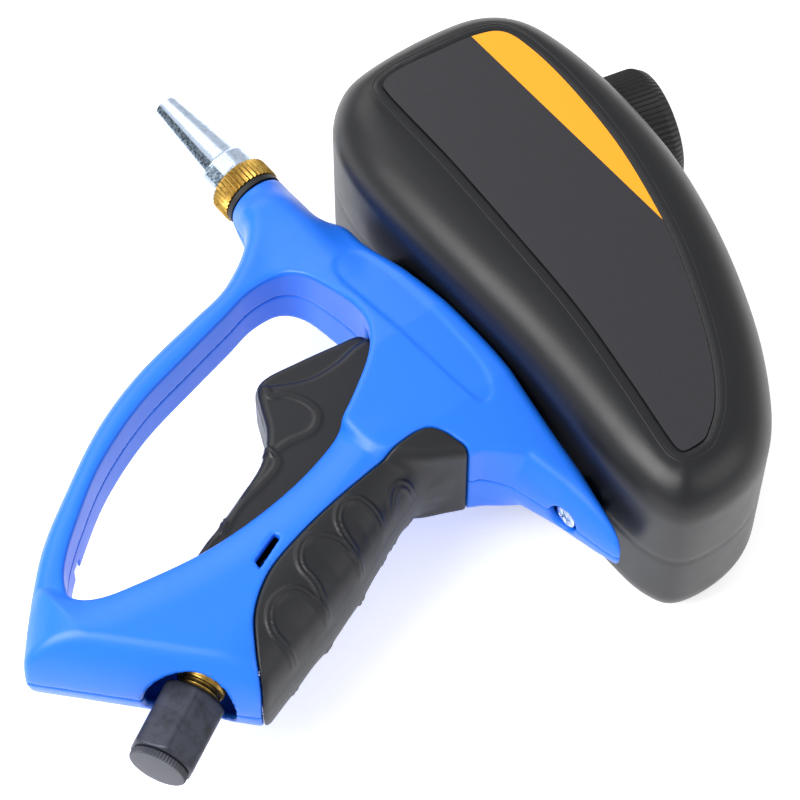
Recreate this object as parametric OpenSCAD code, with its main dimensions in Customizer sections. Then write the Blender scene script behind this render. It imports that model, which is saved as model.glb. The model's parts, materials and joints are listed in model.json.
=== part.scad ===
// Handheld gravity-feed abrasive blaster: a pistol body with a media tank on top.
// The body lies on its right side, so Z runs across the gun from right to left, the
// nozzle points along -X and the tank sits towards +Y.

/* [Body] */
// Half of the width of the body where the mechanism sits
body_half = 21; // [19:0.5:23]
// Half of the width of the handle
handle_half = 18.5; // [17:0.5:19]
// Half of the width of the hand guard
guard_half = 12; // [10:0.5:13]
// Half of the width of the tail that carries the tank
tail_half = 14; // [12:0.5:16]
// Wall of the two moulded halves
wall = 2.6; // [2:0.1:3]
// Outer radius of the barrel
barrel_r = 10; // [9.8:0.1:10.4]

/* [Nozzle] */
// Distance from the barrel's front edge to the nozzle tip
nozzle_l = 48.5; // [40:0.5:60]
// Radius of the nozzle bore
nozzle_bore_r = 3; // [2:0.1:3.5]
// Outer radius of the knurled ring
ring_r = 10.6; // [10.2:0.1:11]

/* [Tank] */
// Half of the width of the tank
tank_half = 37.5; // [34:0.5:40]
// Rounding of the tank's two rims
tank_round = 15; // [12:0.5:16]
// Wall of the blow-moulded tank
tank_wall = 2.5; // [2:0.1:3]
// Outer radius of the filler cap
cap_r = 21; // [20.5:0.5:23]

/* [Air inlet] */
// Width across the flats of the inlet fitting
inlet_af = 19; // [18:0.5:21]
// Radius of the inlet bore, a quarter inch pipe thread
inlet_bore_r = 5.7; // [5.5:0.1:6]

/* [Trigger] */
// Half of the width of the trigger
trigger_half = 12; // [10:0.5:12.5]
// Squeeze of the trigger in degrees
squeeze = 6; // [4:0.5:6]

/* [Hidden] */
$fn = 48;
eps = 0.01;
shift_xy = [17.75, 15.46];    // moves the middle of the whole gun to the origin
grip_t = 2.5;                // thickness of the rubber grip
flow_y = 1.5;                // height of the air and media line in the body
pivot = [19, -98];           // trigger pin
valve_y = -62;               // height of the valve's axis
air_in_x = 29.5;             // air enters the valve here
air_out_x = 22;              // and leaves it here
front_x = -86.5;             // front edge of the barrel
feed_x = -30;                // where the tank feeds the mixing chamber
room_outer_z = 10.4;          // the handle's hollow is stepped: wide and shallow
room_outer_in = 6.8;
room_inner_z = 13.4;          // then narrow and deep
room_inner_in = 12.6;
slot_corners = [[20.9, -75.2], [23.2, -74.5], [27.7, -85.7], [24.7, -85.2]];
fitting_from = -1;           // the hex starts inside the foot's recess
fitting_l = 22;
inlet_tilt = 27;             // the inlet leans this far back from straight down
inlet_at = [41.5, -121.5];     // where the inlet's axis leaves the handle
cap_tilt = 15.5;             // the filler neck leans this far back
cap_seat = 4;                // flat seat around the neck, from cap_at
cap_at = [-33.5, 101];       // where the filler neck leaves the tank
tail_screw_at = [63, 2];     // the screw that holds the tank's foot
screws_at = [[-66, -17], [-49, -82], [-21, -122], [10, -143], [-12, 10.6], [36, 2], [21, -114]];

// The whole gun is drawn about its barrel axis and then set down on its right side.
module place() {
    translate([shift_xy[0], shift_xy[1], tank_half]) children();
}

// A cylinder from one point to another.
module rod(a, b, r) {
    d = b - a;
    l = norm(d);
    translate(a)
        rotate([0, acos(d[2] / l), atan2(d[1], d[0])])
            cylinder(h = l, r = r);
}

// Triangles between two neighbouring rings of points, each with the same number of sides.
function ring_faces(from, to, sides, back = false) = [
    for (k = [0 : sides - 1], half = [0, 1])
        let (
            j = (k + 1) % sides,
            tri = half == 0 ? [from + k, to + k, to + j] : [from + k, to + j, from + j]
        )
            back ? [tri[2], tri[1], tri[0]] : tri
];

// A bent tube in the plane of the gun's middle, open at both ends, through a list of points.
module bent_tube(path, r_out, r_in, sides = 24) {
    last = len(path) - 1;
    function way(i) = let (d = path[min(i + 1, last)] - path[max(i - 1, 0)]) d / norm(d);
    function stretch(i) = i == 0 || i == last ? 1
        : let (d = path[i] - path[i - 1]) norm(d) / abs(d * way(i));
    function ring(i, r) = [
        for (k = [0 : sides - 1])
            let (a = 360 * k / sides)
                path[i] + r * cos(a) * stretch(i) * [-way(i)[1], way(i)[0], 0] + [0, 0, r * sin(a)]
    ];
    rings = last + 1;
    points = [
        for (r = [r_out, r_in], i = [0 : last])
            each ring(i, r)
    ];
    inner = rings * sides;
    faces = [
        for (i = [0 : last - 1])
            each ring_faces(i * sides, (i + 1) * sides, sides),
        for (i = [0 : last - 1])
            each ring_faces(inner + i * sides, inner + (i + 1) * sides, sides, true),
        each ring_faces(inner, 0, sides),
        each ring_faces(last * sides, inner + last * sides, sides)
    ];
    polyhedron(points, faces);
}

// A closed smooth curve through hand-set points.
function knot(p, i) = p[(i + len(p)) % len(p)];
function curve_point(a, b, c, d, t) =
    0.5 * (2 * b + (c - a) * t + (2 * a - 5 * b + 4 * c - d) * t * t
        + (3 * b - a - 3 * c + d) * t * t * t);
function smooth(p, n = 2) = [
    for (i = [0 : len(p) - 1], k = [0 : n - 1])
        curve_point(knot(p, i - 1), p[i], knot(p, i + 1), knot(p, i + 2), k / n)
];

// A slab with rounded rims, as a stack of plates, each a little smaller than the last.
module slab(half, rim, steps = 2) {
    for (k = [0 : steps]) {
        a = 75 * k / steps;
        linear_extrude(2 * (half - rim + rim * sin(a) / sin(75)), center = true)
            offset(delta = -rim * (1 - cos(a))) children();
    }
}

// Outlines, seen from the gun's left side.
guard_knots = [
    [-82, -8], [-76, -11.8], [-70, -17.5], [-65, -25], [-61, -34], [-58.5, -47], [-53.5, -71],
    [-45.5, -92], [-33, -113], [-21.5, -129.5], [-7, -144], [5, -154.5], [18, -166], [28, -156],
    [24, -138], [21, -118], [21, -80], [19, -50], [13, -30], [4, -4], [-12, 3], [-40, 3],
    [-64, 5], [-78, 3]
];
loop_knots = [
    [-48, -11], [-38, -8.2], [-28, -7], [-19, -8.4], [-11, -14], [-4, -23.5], [4, -38],
    [9, -54], [11.5, -72], [11.5, -92], [8.5, -110], [5, -124], [0.5, -130.5], [-5, -131.5],
    [-13, -126.5], [-23, -114.5], [-34, -98], [-43, -77], [-48.5, -54], [-52, -38], [-54.5, -27],
    [-53.5, -17]
];
body_knots = [
    [-60, 10.8], [-45, 12], [-30, 14], [-8, 15.5], [15, 15.4], [34, 13.2], [44, 8.5], [44, -1.5],
    [37, -8.5], [32, -17], [27, -28], [16, -34], [-1, -34], [-10, -25], [-20, -17], [-34, -14],
    [-48, -14.5], [-60, -11.5]
];
tail_knots = [
    [12, 6], [30, 11.4], [46, 11.8], [60, 10.4], [77, 7.6], [83.5, 5.6], [83, 3.4], [75, 1.6],
    [60, -1], [46, -4], [34, -5.5], [14, -5]
];
handle_knots = [
    [6, -12], [-2, -26], [2, -44], [5, -60], [6, -80], [5, -98], [2, -114], [-2, -128],
    [-11, -137], [-4, -144.5], [6, -154], [20, -168], [34, -158], [48, -144], [62, -126], [59.5, -110],
    [56, -98], [52.5, -86], [47.5, -70], [41, -54], [35, -41], [31, -28], [31.5, -17], [22, -7]
];
// the rubber grip covers this zone of the handle
zone_knots = [
    [23, -17], [29, -14], [36, -14], [40, -28], [46, -41], [52, -54], [58, -70], [64, -86],
    [68, -100], [66, -116], [57, -108], [47, -102], [37.5, -95], [30, -84], [26, -70],
    [23.5, -55], [22, -42], [21, -30], [21, -22]
];
trigger_knots = [
    [-22, -8.5], [-24.5, -17], [-27, -30], [-28.5, -41], [-26, -46.5], [-19, -50], [-11, -54],
    [-3.5, -62], [1.5, -74], [6, -86], [10.5, -98], [15, -104], [21, -104.5], [24.5, -100],
    [22, -92], [16, -81], [13, -72], [13, -55], [7, -40], [-1, -24], [-8, -12], [-14, -8.5]
];
tank_knots = [
    [-89, 45], [-88, 68], [-83.5, 87], [-73, 98.5], [-56, 103.4], [-30, 104.5], [0, 101.2],
    [30, 92.5], [58, 80], [78, 67.5], [91, 56], [98, 44], [99.5, 30], [96, 17.5], [86, 12.6],
    [72, 11.9], [60, 12.7], [38, 15], [15, 16.4], [-8, 16.4], [-40, 16.8], [-61, 18.5],
    [-76, 23.5], [-85.5, 33]
];
label_knots = [
    [-72, 42.5], [-60, 42], [-40, 41.5], [-10, 39.5], [25, 36.5], [55, 31.5], [76, 27], [82, 28],
    [83, 35], [78, 44], [67, 53], [52, 62], [30, 72.5], [10, 79.5], [-14, 85.5], [-40, 88.5],
    [-58, 88.5], [-68, 86], [-72.5, 78], [-75, 65], [-77, 51], [-76, 44]
];
guard = smooth(guard_knots);
hole = smooth(loop_knots);
body = smooth(body_knots);
handle = smooth(handle_knots);
tail = smooth(tail_knots);
zone = smooth(zone_knots);
lever = smooth(trigger_knots);
tank_line = smooth(tank_knots);
label_line = smooth(label_knots);

// An outline less the finger loop.
module around_loop(outline) {
    difference() {
        polygon(outline);
        polygon(hole);
    }
}

// Everything past the flat foot of the handle.
module below_foot() {
    translate([6, -156.5, -50]) rotate(41.6) translate([-100, -100, 0]) cube([250, 100, 100]);
}

module turned(angle) {
    translate(pivot) rotate(-angle) translate(-pivot) children();
}

// The way the trigger needs through the two halves, from rest to the full squeeze.
module trigger_way(gap) {
    linear_extrude(2 * (trigger_half + gap), center = true)
        for (a = [0 : squeeze / 4 : squeeze + eps])
            turned(a) offset(delta = gap) polygon(lever);
}

// Axes of the inlet and the filler neck: children are drawn along +Z.
module along_inlet() {
    translate([inlet_at[0], inlet_at[1], 0]) rotate([90, 0, inlet_tilt]) children();
}

module along_cap() {
    translate([cap_at[0], cap_at[1], 0]) rotate([-90, 0, -cap_tilt]) children();
}

// Handle core that the rubber grip wraps.
module grip_core(gap) {
    slab(handle_half - grip_t - gap, 11) offset(delta = -grip_t - gap) polygon(handle);
}

// Outside of both halves together, without the rubber grip.
module housing_solid() {
    difference() {
        union() {
            slab(guard_half, 4) around_loop(guard);
            slab(handle_half, 11) around_loop(handle);
            slab(body_half, 6) around_loop(body);
            slab(tail_half, 5) polygon(tail);
            rod([front_x, 0, 0], [-50, 0, 0], barrel_r);
        }
        difference() {
            linear_extrude(2 * body_half, center = true) offset(delta = 0.05) polygon(zone);
            grip_core(0.05);
        }
        below_foot();
    }
}

// Wall that closes the foot.
module foot_strip() {
    translate([6, -156.5]) rotate(41.6) translate([-40, -30]) square([140, 30]);
}

// Space inside the halves.
module housing_space() {
    linear_extrude(2 * (guard_half - wall), center = true)
        offset(delta = -wall) around_loop(guard);
    linear_extrude(2 * room_outer_z, center = true) offset(delta = -room_outer_in) around_loop(handle);
    linear_extrude(2 * room_inner_z, center = true) offset(delta = -room_inner_in) around_loop(handle);
    linear_extrude(2 * (body_half - wall), center = true)
        offset(delta = -wall) around_loop(body);
}

module screw_posts(r) {
    for (p = screws_at) translate(p) cylinder(h = 60, r = r, center = true);
}

module housing_half() {
    difference() {
        union() {
            difference() {
                housing_solid();
                difference() {
                    housing_space();
                    translate([0, 0, -50]) linear_extrude(100) offset(delta = wall) foot_strip();
                }
            }
            // posts that the case screws run in
            intersection() {
                screw_posts(3.6);
                housing_solid();
            }
            // saddles for the pin
            intersection() {
                translate(pivot) cylinder(h = 60, r = 5, center = true);
                housing_solid();
            }
        }
        trigger_way(0.6);
        // room for the valve
        rod([17, valve_y, 0], [34.5, valve_y, 0], 8.3);
        // barrel bore and its mouth
        rod([front_x - 1, 0, 0], [-50, 0, 0], 7.9);
        // opening for the tank's outlet
        rod([feed_x, 8, 0], [feed_x, 20, 0], 9.3);
        // trigger pin
        translate(pivot) cylinder(h = 2 * 15.2, r = 2.02, center = true);
        // inlet pocket
        along_inlet() translate([0, 0, -3]) cylinder(h = 30, r = 14);
        along_inlet() translate([0, 0, -12]) cylinder(h = 20, r = 7.55);
        // screw through the tail
        rod([tail_screw_at[0], -10, 0], [tail_screw_at[0], 3.5, 0], 5);
        rod([tail_screw_at[0], 3, 0], [tail_screw_at[0], 20, 0], 2.3);
        // narrow slot in each side of the handle
        linear_extrude(60, center = true) polygon(slot_corners);
        // oval panel pressed into each side
        for (s = [-1, 1]) translate([0, 0, s * body_half])
            linear_extrude(1.2, center = true) panel_2d();
    }
}

module panel_2d() {
    polygon(smooth([[-46, 2], [-44, 7], [-36, 9], [-10, 9.6], [14, 8.6], [24, 5], [25.5, 0.5],
        [20, -1.2], [0, -2.5], [-25, -3.6], [-41, -3.2]]));
}

module housing_left() {
    color("royalblue") place() difference() {
        housing_half();
        translate([0, -30, -100]) cube([400, 400, 200], center = true);
        for (p = screws_at) translate([p[0], p[1], -1]) cylinder(h = 8, r = 1.45);
    }
}

module housing_right() {
    color("royalblue") place() difference() {
        housing_half();
        translate([0, -30, 100]) cube([400, 400, 200], center = true);
        for (p = screws_at) {
            translate([p[0], p[1], -50]) cylinder(h = 51, r = 1.7);
            translate([p[0], p[1], -56]) cylinder(h = 50, r = 3.1);
        }
    }
}

module housing_screws() {
    color("silver") place() for (p = screws_at) translate([p[0], p[1], 0]) difference() {
        union() {
            translate([0, 0, -6]) cylinder(h = 12, r = 1.4);
            translate([0, 0, -8.2]) cylinder(h = 2.2, r = 2.9);
        }
        for (a = [0, 90]) rotate(a) translate([-1.8, -0.35, -8.3]) cube([3.6, 0.7, 1.2]);
    }
}

module rear_grip() {
    color("dimgray") place() difference() {
        intersection() {
            slab(handle_half + 0.4, 11) offset(delta = 0.4) polygon(handle);
            linear_extrude(60, center = true) polygon(zone);
        }
        grip_core(0);
        below_foot();
        along_inlet() translate([0, 0, -3]) cylinder(h = 30, r = 14);
    }
}

module trigger() {
    color("dimgray") place() difference() {
        slab(trigger_half, 3) polygon(lever);
        // the lever is a channel, open towards the handle
        linear_extrude(2 * (trigger_half - 3), center = true) difference() {
            translate([4, 2]) offset(delta = -3.2) polygon(lever);
            translate([6, -66]) square([12, 8]);
            translate(pivot) circle(r = 7);
        }
        translate(pivot) cylinder(h = 60, r = 2.06, center = true);
    }
}

module trigger_pin() {
    color("silver") place() translate([pivot[0], pivot[1], 0])
        cylinder(h = 30, r = 2, center = true);
}

module valve_body() {
    color("goldenrod") place() difference() {
        union() {
            rod([17.6, valve_y, 0], [33, valve_y, 0], 8);
            rod([air_in_x, valve_y, 0], [air_in_x, valve_y - 11, 0], 4.5);
            rod([air_out_x, valve_y, 0], [air_out_x, valve_y + 11, 0], 4.5);
        }
        rod([25, valve_y, 0], [34, valve_y, 0], 5);
        rod([19.6, valve_y, 0], [26, valve_y, 0], 3.4);
        rod([17, valve_y, 0], [20, valve_y, 0], 2.56);
        rod([air_in_x, valve_y - 4, 0], [air_in_x, valve_y - 12, 0], 3.02);
        rod([air_out_x, valve_y + 2.5, 0], [air_out_x, valve_y + 12, 0], 3.02);
    }
}

module valve_stem() {
    color("silver") place() union() {
        rod([15.6, valve_y, 0], [27, valve_y, 0], 2.5);
        translate([15.6, valve_y, 0]) sphere(r = 2.3);
        rod([26.3, valve_y, 0], [27.5, valve_y, 0], 4.7);
    }
}

module valve_seal() {
    color("black") place() translate([25.68, valve_y, 0]) rotate([0, 90, 0])
        rotate_extrude() translate([3.9, 0]) circle(r = 0.6);
}

// The valve's return spring, pressed together, as a coil that a loop sweeps.
// The spring is drawn squeezed flat: its turns touch, so it is a sleeve with grooves.
module valve_spring() {
    turns = 3;
    pitch = 0.46;
    color("silver") place() translate([27.55, valve_y, 0]) rotate([0, 90, 0]) rotate_extrude()
        polygon([
            [3.75, 0],
            for (k = [0 : turns - 1]) each [[4.1, k * pitch], [4.25, (k + 0.5) * pitch]],
            [4.1, turns * pitch],
            [3.75, turns * pitch]
        ]);
}

module valve_plug() {
    color("goldenrod") place() union() {
        rod([32.8, valve_y, 0], [33.2, valve_y, 0], 4.96);
        translate([33.1, valve_y, 0]) rotate([0, 90, 0]) cylinder(h = 1.3, r = 5, $fn = 6);
    }
}

inlet_dir = [sin(inlet_tilt), -cos(inlet_tilt), 0];
inlet_root = [inlet_at[0], inlet_at[1], 0] - 9 * inlet_dir;

module inlet_tube() {
    color("silver") place() bent_tube([[air_in_x, valve_y - 5, 0], [air_in_x, valve_y - 22, 0],
        inlet_root - 4 * inlet_dir, inlet_root + 1.8 * inlet_dir], 3, 2.2);
}

module inlet_adapter() {
    color("goldenrod") place() along_inlet() difference() {
        union() {
            translate([0, 0, -9]) cylinder(h = 20, r = 6.8);
            translate([0, 0, -9]) cylinder(h = 4, r = 7.5);
        }
        translate([0, 0, -7]) cylinder(h = 30, r = 4.2);
        translate([0, 0, -10]) cylinder(h = 8, r = 3.02);
    }
}

module inlet_fitting() {
    color("dimgray") place() along_inlet() difference() {
        intersection() {
            translate([0, 0, fitting_from]) cylinder(h = fitting_l, r = inlet_af / sqrt(3), $fn = 6);
            translate([0, 0, fitting_from]) rotate_extrude() polygon([[0, 0], [10, 0], [11.2, 1.2],
                [11.2, fitting_l - 1.2], [10, fitting_l], [0, fitting_l]]);
        }
        translate([0, 0, fitting_from - 1]) cylinder(h = 11.2 - fitting_from + 1, r = 6.83);
        translate([0, 0, 4]) cylinder(h = 30, r = inlet_bore_r);
    }
}

module inlet_cap() {
    color("gray") place() along_inlet() difference() {
        translate([0, 0, 21.3]) cylinder(h = 2.2, r = 9);
        translate([0, 0, 20]) cylinder(h = 2.3, r = 7);
    }
}

module outlet_tube() {
    color("silver") place() bent_tube([[air_out_x, valve_y + 4, 0], [air_out_x, valve_y + 13, 0],
        [18, -28, 0], [14, -6, 0], [6, flow_y, 0], [-6, flow_y, 0]], 3, 2.2);
}

module mixing_chamber() {
    color("goldenrod") place() difference() {
        union() {
            rod([-60, flow_y, 0], [-4, flow_y, 0], 5);
            rod([-86.4, 0, 0], [-56, 0, 0], 7.85);
            rod([feed_x, flow_y, 0], [feed_x, 8.6, 0], 8.4);
        }
        rod([-87, 0, 0], [-74, 0, 0], 6.06);
        rod([-75, 0, 0], [-55, 0, 0], 3.6);
        rod([-58, flow_y, 0], [-20, flow_y, 0], 3.2);
        rod([-21, flow_y, 0], [-3, flow_y, 0], 3.03);
        rod([feed_x, flow_y, 0], [feed_x, 10, 0], 5.5);
    }
}

module chamber_gasket() {
    color("black") place() difference() {
        rod([feed_x, 8.65, 0], [feed_x, 10.6, 0], 8.4);
        rod([feed_x, 8, 0], [feed_x, 12, 0], 5.5);
    }
}

module air_jet() {
    color("goldenrod") place() difference() {
        union() {
            rod([-20, flow_y, 0], [-6.5, flow_y, 0], 3);
            translate([-20, flow_y, 0]) rotate([0, -90, 0]) cylinder(h = 5, r1 = 2.9, r2 = 1.8);
        }
        rod([-26, flow_y, 0], [-6, flow_y, 0], 1.2);
    }
}

// Along the nozzle's axis: x grows towards the tip.
module nozzle() {
    color("lightsteelblue") place() translate([front_x, 0, 0]) rotate([0, -90, 0]) difference() {
        union() {
            translate([0, 0, -11]) cylinder(h = 21, r = 6);
            translate([0, 0, 9.9]) cylinder(h = 6.6, r = 9.4);
            translate([0, 0, 16.5]) cylinder(h = nozzle_l - 16.5, r1 = 7.8, r2 = 4.7);
        }
        translate([0, 0, -12]) cylinder(h = nozzle_l + 20, r = nozzle_bore_r);
        // two flats for a spanner
        rotate(57) for (s = [-1, 1])
            translate([0, s * 10.6, 13.5]) cube([30, 5, 7], center = true);
    }
}

module nozzle_ring() {
    teeth = 40;
    color("goldenrod") place() translate([front_x, 0, 0]) rotate([0, -90, 0]) difference() {
        translate([0, 0, 2.4]) linear_extrude(7.2) polygon([for (i = [0 : 2 * teeth - 1])
            let (a = 180 * i / teeth, r = ring_r - (i % 2) * 0.5) [r * cos(a), r * sin(a)]]);
        cylinder(h = 12, r = 6.06);
    }
}

module nozzle_washer() {
    color("black") place() translate([front_x, 0, 0]) rotate([0, -90, 0]) difference() {
        translate([0, 0, 0.3]) cylinder(h = 1.8, r = 10);
        cylinder(h = 3, r = 6.06);
    }
}

module tank_solid(inset) {
    slab(tank_half - inset, tank_round - inset, 5) offset(delta = -inset) polygon(tank_line);
}

module tank() {
    color([0.16, 0.16, 0.18]) place() difference() {
        union() {
            difference() {
                tank_solid(0);
                along_cap() translate([0, 0, cap_seat]) cylinder(h = 30, r = cap_r + 0.6);
            }
            along_cap() translate([0, 0, -4]) cylinder(h = 17, r = 17);
            rod([feed_x, 10.7, 0], [feed_x, 19, 0], 9);
            rod([tail_screw_at[0], 11.3, 0], [tail_screw_at[0], 26, 0], 6);
        }
        difference() {
            tank_solid(tank_wall);
            rod([tail_screw_at[0], 8, 0], [tail_screw_at[0], 26, 0], 6);
            along_cap() translate([0, 0, cap_seat - tank_wall]) cylinder(h = 30, r = cap_r + 2.5);
        }
        along_cap() translate([0, 0, -12]) cylinder(h = 40, r = 14.5);
        rod([feed_x, 8, 0], [feed_x, 25, 0], 5.5);
        rod([tail_screw_at[0], 8, 0], [tail_screw_at[0], 22, 0], 3.52);
        translate([0, 0, tank_half - 0.8]) linear_extrude(5) offset(delta = 0.2) polygon(label_line);
    }
}

module tank_insert() {
    color("goldenrod") place() difference() {
        rod([tail_screw_at[0], 11.5, 0], [tail_screw_at[0], 21, 0], 3.5);
        rod([tail_screw_at[0], 10, 0], [tail_screw_at[0], 30, 0], 2.02);
    }
}

module tank_screw() {
    color("silver") place() difference() {
        union() {
            rod([tail_screw_at[0], 1.3, 0], [tail_screw_at[0], 3.5, 0], 4);
            rod([tail_screw_at[0], 3.4, 0], [tail_screw_at[0], 18, 0], 2);
        }
        for (a = [0, 90]) translate([tail_screw_at[0], 1.2, 0]) rotate([90, a, 0])
            cube([5, 1, 2], center = true);
    }
}

module tank_label() {
    color("darkslategray") place() translate([0, 0, tank_half - 0.78])
        linear_extrude(0.5) polygon(label_line);
}

module filler_cap() {
    ribs = 60;
    color([0.12, 0.12, 0.13]) place() along_cap() difference() {
        translate([0, 0, 4.6]) union() {
            linear_extrude(13) polygon([for (i = [0 : 2 * ribs - 1])
                let (a = 180 * i / ribs, r = cap_r - (i % 2) * 0.5) [r * cos(a), r * sin(a)]]);
            translate([0, 0, 13 - eps]) cylinder(h = 2.2, r = cap_r - 2);
        }
        translate([0, 0, 4]) cylinder(h = 12.2, r = 17.3);
    }
}

module filler_seal() {
    color("black") place() along_cap() difference() {
        translate([0, 0, 13.3]) cylinder(h = 1.5, r = 16.8);
        translate([0, 0, 13]) cylinder(h = 3, r = 13);
    }
}

housing_left();
housing_right();
housing_screws();
rear_grip();
trigger();
trigger_pin();
valve_body();
valve_stem();
valve_seal();
valve_spring();
valve_plug();
inlet_tube();
inlet_adapter();
inlet_fitting();
inlet_cap();
outlet_tube();
mixing_chamber();
chamber_gasket();
air_jet();
nozzle();
nozzle_ring();
nozzle_washer();
tank();
tank_insert();
tank_screw();
tank_label();
filler_cap();
filler_seal();
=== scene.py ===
# %% [markdown]
# # A handheld abrasive blaster
# The real tool is a pistol-shaped body of two blue moulded halves, with a black media
# tank screwed on top, a rubber grip, a squeeze trigger, a steel nozzle and an air inlet
# in the handle's foot. This lesson starts from the measured CAD model of the tool, which
# holds every size and every moving body, and gives each part its real surface: soft
# moulded edges, raised grip lines, knurls, threads and finishes.

# %% Load the measured model
import json
import math
import bpy
import numpy as np
from mathutils import Matrix, Vector


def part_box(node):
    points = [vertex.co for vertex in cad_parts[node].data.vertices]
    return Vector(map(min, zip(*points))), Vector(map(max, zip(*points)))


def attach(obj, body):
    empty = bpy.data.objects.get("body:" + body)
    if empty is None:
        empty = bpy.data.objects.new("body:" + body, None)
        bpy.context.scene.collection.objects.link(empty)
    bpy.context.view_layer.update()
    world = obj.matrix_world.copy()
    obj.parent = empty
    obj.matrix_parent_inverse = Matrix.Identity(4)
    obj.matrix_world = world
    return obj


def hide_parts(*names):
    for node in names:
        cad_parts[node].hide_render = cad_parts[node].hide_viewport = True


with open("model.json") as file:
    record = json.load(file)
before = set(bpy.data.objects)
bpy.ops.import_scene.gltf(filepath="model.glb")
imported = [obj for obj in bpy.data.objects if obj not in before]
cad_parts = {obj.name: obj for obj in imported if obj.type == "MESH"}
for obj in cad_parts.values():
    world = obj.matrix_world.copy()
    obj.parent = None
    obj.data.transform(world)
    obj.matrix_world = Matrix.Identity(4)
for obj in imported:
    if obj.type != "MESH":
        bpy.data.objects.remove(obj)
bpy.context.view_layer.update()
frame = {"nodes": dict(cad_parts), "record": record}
MM = 0.001
print("CAD nodes:", len(frame["nodes"]))

# %% [markdown]
# ## One set of coordinates for the tool
# A gun designer measures everything from the barrel. The barrel's centre line is y = 0,
# the mould's parting plane is z = 0, and the nozzle points along -x. All shapes below are
# given in millimetres in that system. The boxes of two CAD parts say where it sits.

# %% The gun's own coordinates
BARREL_FRONT = -86.5
low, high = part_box("nozzle")
ORIGIN = np.array([
    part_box("housing_left")[0].x - BARREL_FRONT * MM,
    (low.y + high.y) / 2,
    (low.z + high.z) / 2,
])


def placed(points):
    """Gun millimetres to scene metres."""
    return np.asarray(points, float) * MM + ORIGIN


print("barrel axis at", ORIGIN.round(4))

# %% [markdown]
# ## Camera, floor and light
# The camera comes first, so that every later step can be looked at. It stands a little
# under a metre away, high on the tool's left side. The light of a product picture is
# broad and soft from everywhere, with a key panel near the handle and two weaker panels
# at the sides. The floor is a pale sheet lit from below.

# %% Camera
TARGET = Vector(placed((0, -11, 0)))
AZIMUTH, ELEVATION, DISTANCE = math.radians(51), math.radians(58.6), 0.89


def look_from(azimuth, elevation, distance):
    """A point that far from the target, in that direction."""
    flat = math.cos(elevation)
    way = Vector((math.sin(azimuth) * flat, -math.cos(azimuth) * flat, math.sin(elevation)))
    return TARGET + way * distance


camera_data = bpy.data.cameras.new("camera")
camera_data.sensor_width = 36
camera_data.lens = 130.5
camera = bpy.data.objects.new("camera", camera_data)
camera.location = look_from(AZIMUTH, ELEVATION, DISTANCE)
camera.rotation_euler = (TARGET - camera.location).to_track_quat("-Z", "Y").to_euler()
bpy.context.scene.collection.objects.link(camera)
bpy.context.scene.camera = camera
print("camera at", [round(v, 3) for v in camera.location])


# %% Colours and node helper
def colour(code):
    """An sRGB hex value such as 1F6FE5 as linear red, green, blue and alpha."""
    parts = [int(code[i:i + 2], 16) / 255 for i in (0, 2, 4)]
    return [p / 12.92 if p <= 0.04045 else ((p + 0.055) / 1.055) ** 2.4 for p in parts] + [1]


def add(tree, kind, values=None, links=None, **settings):
    """A node of that kind, with its settings, socket values and incoming links."""
    node = tree.nodes.new(kind)
    for name, value in settings.items():
        setattr(node, name, value)
    for key, value in (values or {}).items():
        node.inputs[key].default_value = value
    for key, socket in (links or {}).items():
        tree.links.new(socket, node.inputs[key])
    return node


# a colour Mix node has several sockets of each name, so its colour ones go by number
COLOUR_A, COLOUR_B, COLOUR_OUT = 6, 7, 2


def finish_named(name):
    """A new material with an empty tree, its surface shader and its output."""
    material = bpy.data.materials.new(name)
    material.use_nodes = True
    tree = material.node_tree
    tree.nodes.clear()
    shader = add(tree, "ShaderNodeBsdfPrincipled")
    add(tree, "ShaderNodeOutputMaterial", links={"Surface": shader.outputs["BSDF"]})
    return material, tree, shader


# %% Floor
floor_paint, tree, shader = finish_named("studio_floor")
shader.inputs["Base Color"].default_value = colour("F7F7F9")
shader.inputs["Roughness"].default_value = 0.9
shader.inputs["Specular IOR Level"].default_value = 0.0
# the sheet is lit from below, which keeps shadows off it
shader.inputs["Emission Color"].default_value = colour("FFFFFF")
shader.inputs["Emission Strength"].default_value = 0.45
floor_mesh = bpy.data.meshes.new("floor")
FLOOR_HALF = 3.0
floor_mesh.from_pydata(
    [(a * FLOOR_HALF, b * FLOOR_HALF, 0) for a, b in ((-1, -1), (1, -1), (1, 1), (-1, 1))],
    [], [(0, 1, 2, 3)])
floor = bpy.data.objects.new("floor", floor_mesh)
floor_mesh.materials.append(floor_paint)
bpy.context.scene.collection.objects.link(floor)


# %% Lights
def panel_light(name, azimuth, elevation, distance, size, power):
    """A soft square panel that faces the tool."""
    data = bpy.data.lights.new(name, "AREA")
    data.shape = "SQUARE"
    data.size = size
    data.energy = power
    lamp = bpy.data.objects.new(name, data)
    lamp.location = look_from(math.radians(azimuth), math.radians(elevation), distance)
    lamp.rotation_euler = (TARGET - lamp.location).to_track_quat("-Z", "Y").to_euler()
    bpy.context.scene.collection.objects.link(lamp)
    return lamp


panel_light("key", -15, 48, 0.85, 0.5, 7.5)
panel_light("side", -95, 40, 1.3, 0.8, 4)
panel_light("fill", 120, 35, 1.4, 0.9, 4)
world = bpy.data.worlds.new("studio")
world.use_nodes = True
world.node_tree.nodes["Background"].inputs["Color"].default_value = colour("FFFFFF")
world.node_tree.nodes["Background"].inputs["Strength"].default_value = 0.72
bpy.context.scene.world = world
bpy.context.scene.view_settings.view_transform = "Standard"

# %% [markdown]
# ## Finishes
# Each material is what the real part is made of. Plastics differ by their gloss and by
# the grain of the mould; metals differ by their colour and by the marks of the tool that
# cut them. Every pattern reads Object coordinates, which are metres here, so a scale of
# 1 / 0.0004 draws grains of 0.4 mm.


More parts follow.
